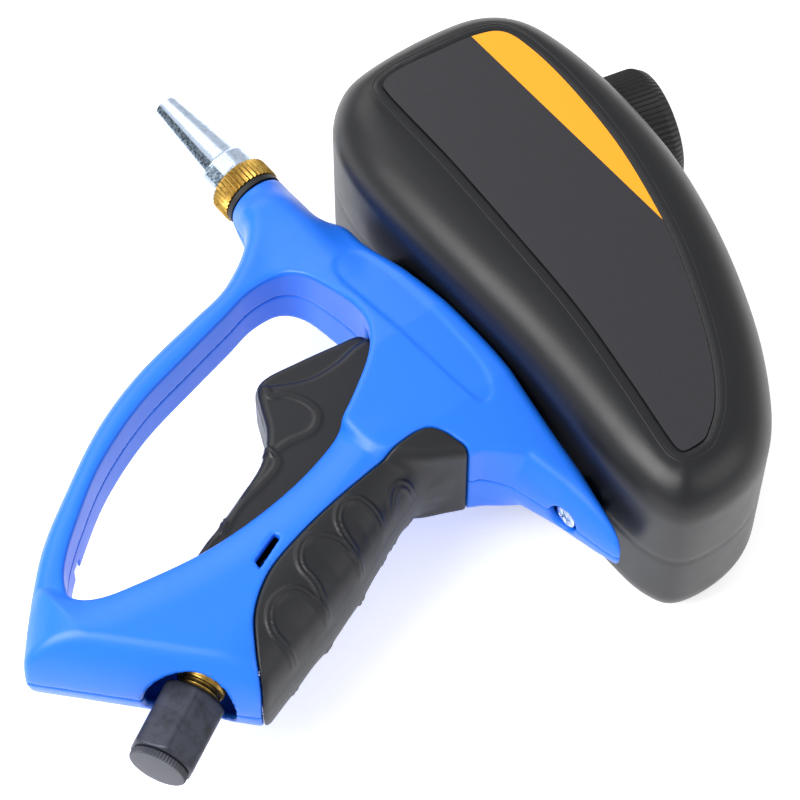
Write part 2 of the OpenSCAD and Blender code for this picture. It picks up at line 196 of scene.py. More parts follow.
# %% A plastic with mould grain
def moulded(name, base, rough, grain_mm, grain_depth, tint=0.06, gleam=0.4):
    """Injection-moulded plastic or rubber: one colour that drifts a little, a fine mould
    grain in the bump, and gloss that varies where hands have rubbed it."""
    material, tree, shader = finish_named(name)
    place = add(tree, "ShaderNodeTexCoord").outputs["Object"]
    drift = add(tree, "ShaderNodeTexNoise", {"Scale": 1 / 0.03, "Detail": 3.0}, {"Vector": place})
    light = add(tree, "ShaderNodeMapRange", {"To Min": 1 - tint, "To Max": 1 + tint},
                {"Value": drift.outputs["Fac"]})
    tone = add(tree, "ShaderNodeHueSaturation", {"Color": colour(base)},
               {"Value": light.outputs["Result"]})
    tree.links.new(tone.outputs["Color"], shader.inputs["Base Color"])
    rub = add(tree, "ShaderNodeTexNoise", {"Scale": 1 / 0.009, "Detail": 5.0, "Roughness": 0.6},
              {"Vector": place})
    gloss = add(tree, "ShaderNodeMapRange", {"To Min": rough - 0.06, "To Max": rough + 0.06},
                {"Value": rub.outputs["Fac"]})
    tree.links.new(gloss.outputs["Result"], shader.inputs["Roughness"])
    grain = add(tree, "ShaderNodeTexNoise", {"Scale": 1 / (grain_mm * MM), "Detail": 2.0},
                {"Vector": place})
    bump = add(tree, "ShaderNodeBump", {"Strength": 0.5, "Distance": grain_depth * MM},
               {"Height": grain.outputs["Fac"]})
    tree.links.new(bump.outputs["Normal"], shader.inputs["Normal"])
    shader.inputs["Specular IOR Level"].default_value = gleam
    return material


# satin ABS, nearly grainless: the light runs over it in long soft bands
blue_abs = moulded("moulded_abs_blue", "186CE4", 0.36, 0.5, 0.006, 0.03)
# thermoplastic rubber, dull with a fine leather-like grain of about 0.4 mm
grip_rubber = moulded("moulded_rubber_black", "121318", 0.46, 0.45, 0.03, 0.12)
# glass-filled nylon, a touch glossier than the rubber
trigger_nylon = moulded("moulded_nylon_black", "15161B", 0.38, 0.5, 0.015, 0.08)
# blow-moulded polyethylene: waxy, with a soft orange peel of about a millimetre
tank_poly = moulded("blow_moulded_polyethylene", "0E0F12", 0.38, 0.9, 0.03, 0.08)
cap_nylon = moulded("moulded_nylon_cap", "0D0E10", 0.42, 0.5, 0.015, 0.08)
dust_poly = moulded("soft_polyethylene_grey", "3A3C45", 0.5, 0.6, 0.02, 0.08)
nitrile = moulded("nitrile_rubber", "151516", 0.55, 0.5, 0.02, 0.08)


# %% A metal with tool marks
def machined(name, base, dark, rough, mark_mm, mark_depth, mottle_mm, along=(1, 0, 0)):
    """Turned metal: fine rings across the axis, and patches where the plating or the
    tarnish is uneven."""
    material, tree, shader = finish_named(name)
    shader.inputs["Metallic"].default_value = 1.0
    place = add(tree, "ShaderNodeTexCoord").outputs["Object"]
    mottle = add(tree, "ShaderNodeTexNoise",
                 {"Scale": 1 / (mottle_mm * MM), "Detail": 6.0, "Roughness": 0.65},
                 {"Vector": place})
    ramp = add(tree, "ShaderNodeValToRGB", links={"Fac": mottle.outputs["Fac"]})
    ramp.color_ramp.elements[0].position = 0.32
    ramp.color_ramp.elements[0].color = colour(dark)
    ramp.color_ramp.elements[1].position = 0.55
    ramp.color_ramp.elements[1].color = colour(base)
    tree.links.new(ramp.outputs["Color"], shader.inputs["Base Color"])
    gloss = add(tree, "ShaderNodeMapRange", {"To Min": rough + 0.12, "To Max": rough - 0.06},
                {"Value": mottle.outputs["Fac"]})
    tree.links.new(gloss.outputs["Result"], shader.inputs["Roughness"])
    rings = add(tree, "ShaderNodeMapping", {"Scale": [a / (mark_mm * MM) for a in along]},
                {"Vector": place})
    marks = add(tree, "ShaderNodeTexNoise", {"Scale": 1.0, "Detail": 2.0},
                {"Vector": rings.outputs["Vector"]})
    bump = add(tree, "ShaderNodeBump", {"Strength": 0.5, "Distance": mark_depth * MM},
               {"Height": marks.outputs["Fac"]})
    tree.links.new(bump.outputs["Normal"], shader.inputs["Normal"])
    return material


# bright zinc plate over turned steel
zinc = machined("zinc_plated_steel", "CFDEF4", "A9B8CC", 0.24, 0.12, 0.01, 1.4)
# knurled brass, a little tarnished in patches
brass = machined("knurled_brass", "B4924A", "7C6026", 0.32, 0.3, 0.01, 1.2)
# black oxide over steel: dark, half dull, with lighter rubs
oxide = machined("black_oxide_steel", "363843", "22242B", 0.4, 0.6, 0.008, 5.0)
oxide.node_tree.nodes["Principled BSDF"].inputs["Metallic"].default_value = 0.55

# the nozzle's own zinc: a dark, speckled strip painted along one side, a painted reflection
nozzle_zinc_painted_reflection = zinc.copy()
nozzle_zinc_painted_reflection.name = "zinc_with_a_dull_strip"
tree = nozzle_zinc_painted_reflection.node_tree
shader = tree.nodes["Principled BSDF"]
place = add(tree, "ShaderNodeTexCoord").outputs["Object"]
from_axis = add(tree, "ShaderNodeVectorMath", {1: tuple(map(float, ORIGIN))}, {0: place},
                operation="SUBTRACT")
across = add(tree, "ShaderNodeVectorMath", {1: (0, 1, 1)}, {0: from_axis.outputs[0]},
             operation="MULTIPLY")
unit = add(tree, "ShaderNodeVectorMath", None, {0: across.outputs[0]}, operation="NORMALIZE")
# where the painted reflection lies around the nozzle's axis, and how wide it is
REFLECTION_AT, REFLECTION_WIDE = math.radians(47), math.radians(13)
facing = add(tree, "ShaderNodeVectorMath", {1: (0, -math.sin(REFLECTION_AT), math.cos(REFLECTION_AT))},
             {0: unit.outputs[0]}, operation="DOT_PRODUCT")
in_reflection = add(tree, "ShaderNodeMapRange",
               {"From Min": math.cos(REFLECTION_WIDE * 1.15), "From Max": math.cos(REFLECTION_WIDE * 0.9)},
               {"Value": facing.outputs["Value"]})
spots = add(tree, "ShaderNodeTexNoise", {"Scale": 1 / 0.0007, "Detail": 4.0}, {"Vector": place})
# the dark colours of the painted reflection, speckled by the noise
reflection_colours = add(tree, "ShaderNodeValToRGB", links={"Fac": spots.outputs["Fac"]})
reflection_colours.color_ramp.elements[0].position = 0.4
reflection_colours.color_ramp.elements[0].color = colour("3E4A55")
reflection_colours.color_ramp.elements[1].position = 0.62
reflection_colours.color_ramp.elements[1].color = colour("8C9BAA")
plain = shader.inputs["Base Color"].links[0].from_socket
both = add(tree, "ShaderNodeMix", data_type="RGBA",
           links={"Factor": in_reflection.outputs["Result"], COLOUR_A: plain,
                  COLOUR_B: reflection_colours.outputs["Color"]})
tree.links.new(both.outputs[COLOUR_OUT], shader.inputs["Base Color"])

# %% [markdown]
# ## Printed label
# The label is a dark film in a shallow recess on the tank's side. Its only print is a
# plain yellow band: the part of the panel above a straight line. A material can draw
# that from the height across the tank alone.

# %% Label film
label_film, tree, shader = finish_named("printed_label_film")
place = add(tree, "ShaderNodeTexCoord").outputs["Object"]
split = add(tree, "ShaderNodeSeparateXYZ", links={"Vector": place})
BAND_FROM = 77
above = add(tree, "ShaderNodeMath", {1: float(placed((0, BAND_FROM, 0))[1])},
            {0: split.outputs["Y"]}, operation="GREATER_THAN")
speck = add(tree, "ShaderNodeTexNoise", {"Scale": 1 / 0.002, "Detail": 4.0}, {"Vector": place})
film = add(tree, "ShaderNodeMix", data_type="RGBA",
           values={COLOUR_A: colour("1D1C21"), COLOUR_B: colour("242329")},
           links={"Factor": speck.outputs["Fac"]})
print_ = add(tree, "ShaderNodeMix", data_type="RGBA", values={COLOUR_B: colour("E79C12")},
             links={"Factor": above.outputs["Value"], COLOUR_A: film.outputs[COLOUR_OUT]})
tree.links.new(print_.outputs[COLOUR_OUT], shader.inputs["Base Color"])
shader.inputs["Roughness"].default_value = 0.42
print("finishes:", len(bpy.data.materials))

# %% [markdown]
# ## Outlines
# The CAD draws every moulded part from a closed curve through a few points in the side
# view. The same points come back here, with more steps between them, so that the curves
# are smooth to the eye. A Catmull-Rom curve passes through all its points.


# %% Smooth closed curves
def smooth(knots, steps=6):
    """A closed curve through the points, with that many steps from one to the next."""
    p = np.array(knots, float)
    a, b, c, d = (np.roll(p, k, 0) for k in (1, 0, -1, -2))
    rows = []
    for t in np.arange(steps) / steps:
        rows.append(0.5 * (2 * b + (c - a) * t + (2 * a - 5 * b + 4 * c - d) * t * t
                           + (3 * b - a - 3 * c + d) * t ** 3))
    return np.stack(rows, 1).reshape(-1, 2)


GUARD = smooth([
    (-82, -8), (-76, -11.8), (-70, -17.5), (-65, -25), (-61, -34), (-58.5, -47), (-53.5, -71),
    (-45.5, -92), (-33, -113), (-21.5, -129.5), (-7, -144), (5, -154.5), (18, -166), (28, -156),
    (24, -138), (21, -118), (21, -80), (19, -50), (13, -30), (4, -4), (-12, 3), (-40, 3),
    (-64, 5), (-78, 3)])
LOOP = smooth([
    (-48, -11), (-38, -8.2), (-28, -7), (-19, -8.4), (-11, -14), (-4, -23.5), (4, -38),
    (9, -54), (11.5, -72), (11.5, -92), (8.5, -110), (5, -124), (0.5, -130.5), (-5, -131.5),
    (-13, -126.5), (-23, -114.5), (-34, -98), (-43, -77), (-48.5, -54), (-52, -38), (-54.5, -27),
    (-53.5, -17)])
TRUNK = smooth([
    (-60, 10.8), (-45, 12), (-30, 14), (-8, 15.5), (15, 15.4), (34, 13.2), (46, 11.8), (60, 10.4),
    (77, 7.6), (83.5, 5.6), (83, 3.4), (75, 1.6), (60, -1), (46, -4.5), (38, -10),
    (33, -18), (27, -28), (16, -36), (-1, -36), (-10, -25), (-20, -17), (-34, -14),
    (-48, -14.5), (-60, -11.5)])
HANDLE = smooth([
    (6, -12), (-2, -26), (2, -44), (5, -60), (6, -80), (5, -98), (2, -114), (-2, -128),
    (-11, -137), (-4, -144.5), (6, -154), (20, -168), (34, -158), (48, -144), (62, -126),
    (59.5, -110), (56, -98), (52.5, -86), (47.5, -70), (41, -54), (35, -41), (31, -28),
    (31.5, -17), (22, -7)])
GRIP_ZONE = smooth([
    (23, -17), (29, -14), (36, -14), (40, -28), (46, -41), (52, -54), (58, -70), (64, -86),
    (68, -100), (66, -116), (57, -108), (47, -102), (37.5, -95), (30, -84), (26, -70),
    (23.5, -55), (22, -42), (21, -30), (21, -22)])
LEVER = smooth([
    (-22, -8.5), (-24.5, -17), (-27, -30), (-28.5, -41), (-26, -46.5), (-19, -50), (-11, -54),
    (-3.5, -62), (1.5, -74), (6, -86), (10.5, -98), (15, -104), (21, -104.5), (24.5, -100),
    (22, -92), (16, -81), (13, -72), (13, -55), (7, -40), (-1, -24), (-8, -12), (-14, -8.5)])
TANK = smooth([
    (-89, 45), (-88, 68), (-83.5, 87), (-73, 98.5), (-56, 103.4), (-30, 104.5), (0, 101.2),
    (30, 92.5), (58, 80), (78, 67.5), (91, 56), (98, 44), (99.5, 30), (96, 17.5), (86, 12.6),
    (72, 11.9), (60, 12.7), (38, 15), (15, 16.4), (-8, 16.4), (-40, 16.8), (-61, 18.5),
    (-76, 23.5), (-85.5, 33)])
LABEL = smooth([
    (-72, 42.5), (-60, 42), (-40, 41.5), (-10, 39.5), (25, 36.5), (55, 31.5), (76, 27.4), (81.2, 27),
    (82.8, 28.4), (83.3, 34), (82, 37.5), (77, 44.5), (67, 53),
    (52, 62), (30, 72.5), (10, 79.5), (-14, 85.5), (-40, 88.5), (-58, 88.5), (-68, 86),
    (-72.5, 78), (-75, 65), (-77, 51), (-76, 44)])
PANEL = smooth([
    (-46, 2), (-44, 7), (-36, 9), (-10, 9.6), (14, 8.6), (24, 5), (25.5, 0.5), (20, -1.2),
    (0, -2.5), (-25, -3.6), (-41, -3.2)])
print("points on the tank outline:", len(TANK))

# %% [markdown]
# ## Moulded shapes as distances
# A moulding has no sharp edges: corners are rounded, and arms meet the body in a fillet. A
# signed distance says how far any point is from the surface, negative inside. Distances
# can be joined, cut and rounded with one line each. At the end one mesh is laid over the
# place where the distance is zero.


# %% Distance helpers
def away(x, y, loop):
    """Distance in the side view from each point to a closed curve, negative inside."""
    p = np.stack([x.ravel(), y.ravel()], 1)
    best = np.full(len(p), 1e9)
    inside = np.zeros(len(p), bool)
    for a, b in zip(loop, np.roll(loop, -1, 0)):
        side = b - a
        t = np.clip((p - a) @ side / max(side @ side, 1e-9), 0, 1)
        gap = p - a - t[:, None] * side
        best = np.minimum(best, (gap * gap).sum(1))
        if a[1] != b[1]:
            over = (a[1] > p[:, 1]) != (b[1] > p[:, 1])
            inside ^= over & (p[:, 0] < a[0] + (p[:, 1] - a[1]) * side[0] / side[1])
    return (np.sqrt(best) * np.where(inside, -1, 1)).reshape(x.shape)


def away_line(x, y, line):
    """Distance in the side view from each point to an open line."""
    best = np.full(x.shape, 1e9)
    for a, b in zip(line[:-1], line[1:]):
        side = np.subtract(b, a)
        t = np.clip(((x - a[0]) * side[0] + (y - a[1]) * side[1]) / (side @ side), 0, 1)
        best = np.minimum(best, np.hypot(x - a[0] - t * side[0], y - a[1] - t * side[1]))
    return best


def join(a, b, k):
    """Both shapes together, with a fillet of about k."""
    t = np.clip(0.5 + 0.5 * (b - a) / k, 0, 1)
    return b + (a - b) * t - k * t * (1 - t)


def keep(a, b, k):
    """What both shapes share, with an edge rounded by about k."""
    return -join(-a, -b, k)


def cut(a, b, k):
    """The first shape less the second, with an edge rounded by about k."""
    return -join(-a, b, k)


def plate(d, z, half, rim):
    """A flat plate of an outline at distance d, half thick on each side of z = 0."""
    across, up = d + rim, np.abs(z) - half + rim
    return (np.hypot(np.maximum(across, 0), np.maximum(up, 0))
            + np.minimum(np.maximum(across, up), 0) - rim)


def lens(d, z, half, edge, width):
    """A plate that is thickest in the middle and thins to edge at its outline."""
    t = np.clip(-d / width, 0, 1)
    top = edge + (half - edge) * np.sqrt(1 - (1 - t) ** 2)
    return keep(d, (np.abs(z) - top) * 0.8, 5.0)


def lattice(low, high, step):
    """Sample points of a box: x and y as flat maps with room for z, z as a column."""
    axes = [np.arange(a, b + step, step) for a, b in zip(low, high)]
    x, y = np.meshgrid(axes[0], axes[1], indexing="ij")
    return x, y, axes[2][None, None, :]


# %% [markdown]
# ## From distances to a mesh
# The samples sit on a cubic lattice. Every cell that the surface crosses gets one point,
# in the middle of the crossings on its edges, and four cells around a crossed edge make
# one face. This method is called surface nets. The points are then slid along the
# surface until they are evenly spread, which removes the steps of the lattice.


# %% Surface nets
def skin(field, corner, step, polish=4):
    """Points in millimetres and faces of the surface where the field is zero."""
    n = np.array(field.shape)
    cells = n - 1
    total = np.zeros((cells.prod(), 3))
    count = np.zeros(cells.prod())
    quads = []
    for axis in range(3):
        a = np.take(field, range(n[axis] - 1), axis)
        b = np.take(field, range(1, n[axis]), axis)
        crossed = (a < 0) != (b < 0)
        where = np.argwhere(crossed)
        point = where.astype(float)
        point[:, axis] += a[crossed] / (a[crossed] - b[crossed])
        u, v = [k for k in range(3) if k != axis]
        ring, good = [], np.ones(len(where), bool)
        for du, dv in ((0, 0), (1, 0), (1, 1), (0, 1)):
            cell = where.copy()
            cell[:, u] -= du
            cell[:, v] -= dv
            good &= ((cell >= 0) & (cell < cells)).all(1)
            ring.append(np.ravel_multi_index(np.clip(cell, 0, cells - 1).T, cells))
        for cell in ring:
            count += np.bincount(cell[good], minlength=len(count))
            for k in range(3):
                total[:, k] += np.bincount(cell[good], point[good, k], len(count))
        face = np.stack(ring, 1)[good]
        outward = (a[crossed] < 0)[good] ^ (axis == 1)
        face[~outward] = face[~outward][:, ::-1]
        quads.append(face)
    quads = np.concatenate(quads)
    used = np.flatnonzero(count)
    number = np.full(len(count), -1)
    number[used] = np.arange(len(used))
    points = total[used] / count[used, None]
    quads = number[quads]
    slopes = np.gradient(field)

    def sampled(grid, p):
        base = np.clip(np.floor(p).astype(int), 0, n - 2)
        f = p - base
        value = 0
        for corner_ in np.ndindex(2, 2, 2):
            weight = np.prod(np.where(corner_, f, 1 - f), 1)
            value = value + weight * grid[tuple((base + corner_).T)]
        return value

    for _ in range(polish):
        near, ties = np.zeros_like(points), np.zeros(len(points))
        for i in range(4):
            a, b = quads[:, i], quads[:, (i + 1) % 4]
            for one, other in ((a, b), (b, a)):
                ties += np.bincount(one, minlength=len(points))
                for k in range(3):
                    near[:, k] += np.bincount(one, points[other, k], len(points))
        points = points + 0.6 * (near / ties[:, None] - points)
        for _ in range(2):
            slope = np.stack([sampled(g, points) for g in slopes], 1)
            steep = np.maximum((slope ** 2).sum(1), 1e-6)
            move = (sampled(field, points) / steep)[:, None] * slope
            points = points - np.clip(move, -0.5, 0.5)
    return points * step + np.asarray(corner), quads


# %% One function to put a finished piece in the scene
def piece(name, points, faces, material, body, slot, *nodes):
    """A smooth mesh piece that rides on a CAD body and stands for CAD nodes."""
    mesh = bpy.data.meshes.new(name)
    mesh.from_pydata(placed(points).tolist(), [], [list(map(int, f)) for f in faces])
    mesh.shade_smooth()
    mesh.materials.append(material)
    made = bpy.data.objects.new(name, mesh)
    bpy.context.scene.collection.objects.link(made)
    finish_piece(made, body, slot, *nodes)
    print(f"{name}: {len(points)} points, {len(faces)} faces")
    return made


def finish_piece(made, body, slot, *nodes):
    """Says which body a piece rides on and hides the CAD nodes it stands for. Its slot is not used."""
    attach(made, body)
    if nodes:
        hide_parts(*nodes)


FINE = 1.0

# %% [markdown]
# ## The moulded body
# Four shapes make the outside: the round barrel, the thick trunk that ends in the tail,
# the thin hand guard and the lens-shaped handle. The finger loop is cut through all of
# them, and the foot is cut flat.


# %% Outside of the body
LOOP_EDGE = 1.6
FOOT_NORMAL = (math.sin(math.radians(41.6)), -math.cos(math.radians(41.6)))


def foot_cut(x3, y3, z):
    """The slanted end of the foot, which draws back towards both faces."""
    return (x3 - 6) * FOOT_NORMAL[0] + (y3 + 156.5) * FOOT_NORMAL[1] + 0.026 * z * z


def tube(x, y, z, start, end, r):
    """A round bar between two points in the parting plane or beside it."""
    start, end = np.array(start, float), np.array(end, float)
    way = end - start
    length = np.linalg.norm(way)
    way = way / length
    along = (x - start[0]) * way[0] + (y - start[1]) * way[1] + (z - start[2]) * way[2]
    square = (x - start[0]) ** 2 + (y - start[1]) ** 2 + (z - start[2]) ** 2
    radial = np.sqrt(np.maximum(square - along ** 2, 0)) - r
    return np.maximum(radial, np.maximum(-along, along - length))


def body_outside(x, y, z):
    """Distance to the outside of the blue body, grip zone included."""
    x3, y3 = x[:, :, None], y[:, :, None]
    half = np.interp(x, [-60, -52, -45, -28, -10, 22, 40, 60, 84],
                     [7.5, 10.5, 13.5, 18, 20.6, 20.6, 17.5, 14, 9.5])[:, :, None]
    trunk = plate(away(x, y, TRUNK)[:, :, None], z, half, 3.5)
    # the tail's underside slants out from the face to the parting plane
    under = np.interp(x, [31, 38, 46, 60, 75, 83], [-19, -10, -4.5, -1, 1.6, 3.4])
    slant = 5.5 * np.clip((x - 37) / 8, 0, 1)
    below = (under - y)[:, :, None] + slant[:, :, None] * (z / half) ** 2
    trunk = keep(trunk, np.where(x3 > 37, below * 0.8, -20), 2)
    barrel = keep(tube(x3, y3, z, (-120, 0, 0), (-44, 0, 0), 10), -(x3 - BARREL_FRONT), 1.0)
    guard_d = away(x, y, GUARD)[:, :, None]
    guard = plate(guard_d, z, 12, 5)
    handle = lens(away(x, y, HANDLE)[:, :, None], z, 18.9, 7, 19)
    shape = join(join(barrel, trunk, 9), guard, 7)
    shape = join(shape, handle, 3)
    shape = keep(shape, -(x3 - BARREL_FRONT), 0.8)
    shape = cut(shape, away(x, y, LOOP)[:, :, None], LOOP_EDGE)
    return keep(shape, foot_cut(x3, y3, z), 2.5)


# %% [markdown]
# ## Inside of the body
# The halves are hollow shells with posts for the case screws, a way for the trigger, and
# pockets for the grip, the inlet, the tank's outlet and the tail screw.

# %% The hollow halves
WALL, GRIP_T = 2.6, 2.5
SCREWS = [(-66, -17), (-49, -82), (-21, -122), (10, -143), (-12, 10.6), (36, 2), (21, -114)]
PIVOT = np.array([19, -98.0])
SQUEEZE = 6
INLET_AT = np.array([41.5, -121.5, 0])
INLET_TILT = math.radians(27)
INLET_WAY = np.array([math.sin(INLET_TILT), -math.cos(INLET_TILT), 0])
TAIL_X, FEED_X, VALVE_Y = 63, -30, -62
POST_R, PILOT_R, CLEAR_R, HEAD_R = 3.6, 1.45, 1.7, 3.1
RECESS_R, RECESS_DEEP = 13.4, 8.5
SLOT = np.array([(20.9, -75.2), (23.2, -74.5), (27.7, -85.7), (24.7, -85.2)])


def turned(loop, angle):
    """A curve turned about the trigger pin, as a squeeze turns it."""
    a = -math.radians(angle)
    spin = np.array([[math.cos(a), math.sin(a)], [-math.sin(a), math.cos(a)]])
    return (loop - PIVOT) @ spin + PIVOT


step = 0.8 * FINE
corner = (-90, -160, -1.5 * step)
x, y, z = lattice(corner, (88, 20, 24), step)
x3, y3 = x[:, :, None], y[:, :, None]
outside = body_outside(x, y, z)
zone = away(x, y, GRIP_ZONE)[:, :, None]
under_grip = np.clip(-zone / 2, 0, 1) * GRIP_T
shell = np.maximum(outside, -(outside + WALL + under_grip))
for sx, sy in SCREWS:
    post = np.hypot(x3 - sx, y3 - sy) - POST_R + 0 * z
    shell = np.minimum(shell, np.maximum(post, outside))
boss = np.hypot(x3 - PIVOT[0], y3 - PIVOT[1]) - 5 + 0 * z
shell = np.minimum(shell, np.maximum(boss, outside))
pocket = np.maximum(zone - 0.05, -(outside + GRIP_T))
shell = cut(shell, pocket, 0.5)
way = np.min([away(x, y, turned(LEVER, a)) for a in range(0, SQUEEZE + 1, 2)], 0)[:, :, None]
shell = cut(shell, np.maximum(way - 0.5, np.abs(z) - 12.5), 0.6)
panel = away(x, y, PANEL)[:, :, None]
shell = shell + 0.55 * np.clip(0.5 - panel / 1.0, 0, 1) * np.clip((np.abs(z) - 12) / 3, 0, 1)
slot = away(x, y, SLOT)[:, :, None]
shell = cut(shell, slot + 0 * z, 0.3)
for start, end, r in (
        ((BARREL_FRONT - 5, 0, 0), (-50, 0, 0), 7.9),
        ((FEED_X, 8, 0), (FEED_X, 30, 0), 9.3),
        (INLET_AT - RECESS_DEEP * INLET_WAY, INLET_AT + 30 * INLET_WAY, RECESS_R),
        (INLET_AT - 12 * INLET_WAY, INLET_AT, 7.55),
        ((TAIL_X, -20, 0), (TAIL_X, 3.5, 0), 5.0),
        ((TAIL_X, 3, 0), (TAIL_X, 20, 0), 2.3),
        ((17, VALVE_Y, 0), (34.5, VALVE_Y, 0), 8.3)):
    shell = cut(shell, tube(x3, y3, z, start, end, r), 0.5)
pin = np.maximum(np.hypot(x3 - PIVOT[0], y3 - PIVOT[1]) - 2.1, np.abs(z) - 15.2)
shell = np.maximum(shell, -pin)
left = np.maximum(shell, -z)
for sx, sy in SCREWS:
    hole = np.maximum(np.hypot(x3 - sx, y3 - sy) - PILOT_R, z - 7)
    left = np.maximum(left, -hole)
right = np.maximum(shell, -z)
for sx, sy in SCREWS:
    run = np.hypot(x3 - sx, y3 - sy)
    right = cut(right, np.minimum(run - CLEAR_R + 0 * z, np.maximum(run - HEAD_R, 6 - z)), 0.3)
points, faces = skin(left, corner, step)
piece("housing_left_shell", points, faces, blue_abs, "gun", "abs_shell", "housing_left")
points, faces = skin(right, corner, step)
piece("housing_right_shell", points * (1, 1, -1), faces[:, ::-1], blue_abs, "gun",
      "abs_shell", "housing_right")

# %% [markdown]
# ## The rubber grip
# The grip is a second skin over the back of the handle. Four teardrop loops are raised on
# each side, and the rubber inside each loop is scooped a little. They are real relief.

# %% Grip
TEARDROPS = [
    [(42.2, -45.2), (36, -42.3), (31.3, -39.1), (29.6, -34.9), (31.8, -31.7), (36.8, -31.4),
     (44.1, -35.7)],
    [(54, -63), (41.8, -59.8), (33.1, -59.1), (28.7, -57.4), (26.1, -53.5), (27, -49.2),
     (32.1, -47), (38.4, -47.1), (45.6, -48), (52, -54)],
    [(56, -78), (41.6, -75.6), (35.7, -75.9), (31.7, -74), (29.1, -70.1), (29.8, -66.3),
     (34.8, -61.7), (42.6, -60.4), (51.6, -61.5), (58, -68)],
    [(65.5, -98), (54.2, -94), (46.7, -94.8), (41.6, -92.6), (38.6, -87.9), (39.5, -81.3),
     (46.8, -78.5), (57.4, -78.3), (66, -83)]]


def bent(line, steps=5):
    """An open line made smooth: the closed curve through it, less its closing part."""
    return smooth(line, steps)[:(len(line) - 1) * steps + 1]


step = 0.46 * FINE
corner = (17, -118, -21.5)
x, y, z = lattice(corner, (66, -6, 21.5), step)
x3, y3 = x[:, :, None], y[:, :, None]
outside = body_outside(x, y, z)
zone = away(x, y, GRIP_ZONE)[:, :, None]
relief = np.zeros_like(x)
for drop in TEARDROPS:
    line = bent(drop)
    d = away_line(x, y, line)
    inside = away(x, y, line)
    relief += 0.55 * (np.exp(-((d - 0.75) / 0.5) ** 2))
    relief -= 0.5 * np.clip((-inside - 1.4) / 6, 0, 1)
side_on = np.clip((np.abs(z) - 5) / 4, 0, 1)
grip = keep(outside - 0.35 - relief[:, :, None] * side_on, zone + 0.3, 0.9)
grip = np.maximum(grip, -(outside + GRIP_T - 0.05))
grip = keep(grip, foot_cut(x3, y3, z) + 0.2, 0.6)
recess = tube(x3, y3, z, INLET_AT - RECESS_DEEP * INLET_WAY, INLET_AT + 30 * INLET_WAY,
              RECESS_R + 0.4)
grip = np.maximum(grip, -recess)
points, faces = skin(grip, corner, step)
piece("grip_rubber_skin", points, faces, grip_rubber, "gun", "soft_grip", "rear_grip")

# %% [markdown]
# ## The trigger
# The lever is a channel of nylon, open towards the handle. Its top is narrower than its
# sides, with a shoulder where a fingertip stops, and its sides carry raised loops too.

# %% Trigger
SHOULDER = smooth([
    (-25.5, -46), (-23, -41), (-18.6, -32), (-17.8, -22), (-19, -13), (-17, -5), (-6, -8), (4, -30),
    (16, -55), (16, -81), (26, -100), (20, -108), (12, -106), (4, -86), (-5, -62), (-12, -54),
    (-20, -50)])
TRIGGER_LINES = [
    [(-27, -44), (-20.3, -45.2), (-18.3, -42), (-12.7, -38.3), (-6.3, -37.8), (-2.5, -42.5),
     (-3.7, -50.4), (-6, -57)],
    [(8, -84), (4.5, -76), (2.7, -66), (0.5, -58.5), (-3.2, -57), (-6, -61)],
    [(12, -99), (8.5, -90), (7, -84), (3.5, -82), (1, -84)]]
step = 0.5 * FINE
corner = (-31, -107, -13.5)
x, y, z = lattice(corner, (27, -5, 13.5), step)
lever = away(x, y, LEVER)[:, :, None]
wide = plate(keep(lever, away(x, y, SHOULDER)[:, :, None], 1.5), z, 12, 2.5)
narrow = plate(lever, z, 8.2, 1.8)
relief = sum(0.5 * np.exp(-((away_line(x, y, bent(line)) - 0.6) / 0.45) ** 2)
             for line in TRIGGER_LINES)
trigger = join(wide, narrow, 1.6) - relief[:, :, None] * np.clip((np.abs(z) - 8) / 2, 0, 1)
hollow = np.maximum(away(x - 4, y - 2, LEVER)[:, :, None] + 3.2, np.abs(z) - 7)
block = np.maximum(np.abs(x - 9.6) - 3.6, np.abs(y + 62) - 4)[:, :, None]
boss = (np.hypot(x - PIVOT[0], y - PIVOT[1]) - 7)[:, :, None]
hollow = np.maximum(hollow, -np.minimum(block, boss))
trigger = np.maximum(trigger, -hollow)
trigger = np.maximum(trigger, -(np.hypot(x - PIVOT[0], y - PIVOT[1])[:, :, None] - 2.06 + 0 * z))
# the back edge stays clear of the valve when the lever is squeezed
valve_side = np.maximum(12.7 - x, np.abs(y + 58) - 10)[:, :, None]
trigger = np.maximum(trigger, -np.maximum(valve_side, np.abs(z) - 9))
points, faces = skin(trigger, corner, step)
piece("trigger_lever", points, faces, trigger_nylon, "trigger", "black_nylon", "trigger")

# %% [markdown]
# ## The media tank
# The tank is blown in a mould, so its rims are generously round and a fine seam groove
# runs around its middle. The label sits in a shallow recess. The wall and the hollow
# inside are real, because the filler mouth looks into it.

# %% Tank
TANK_HALF, TANK_ROUND, TANK_WALL = 37.5, 15, 2.5
CAP_AT = np.array([-33.5, 101, 0])
CAP_TILT = math.radians(15.5)
CAP_WAY = np.array([math.sin(CAP_TILT), math.cos(CAP_TILT), 0])
step = 1.2 * FINE
corner = (-93, 7, -40)
x, y, z = lattice(corner, (103, 122, 40), step)
x3, y3 = x[:, :, None], y[:, :, None]
flat = away(x, y, TANK)[:, :, None]
tank = plate(flat, z, TANK_HALF, TANK_ROUND)
inner = tank + TANK_WALL
seam = 0.25 * np.exp(-(z / 0.8) ** 2) * np.clip((flat + 6) / 4, 0, 1)
label = away(x, y, LABEL)
edge = 0.9 * np.clip(0.5 - (label - 0.8) / 1.6, 0, 1)
edge += 0.35 * np.exp(-((label - 3.6) / 0.9) ** 2)
tank = tank + seam + edge[:, :, None] * np.clip((z - 30) / 4, 0, 1)
seat = tube(x3, y3, z, CAP_AT + 4 * CAP_WAY, CAP_AT + 40 * CAP_WAY, 21.6)
tank = cut(tank, seat, 1.2)
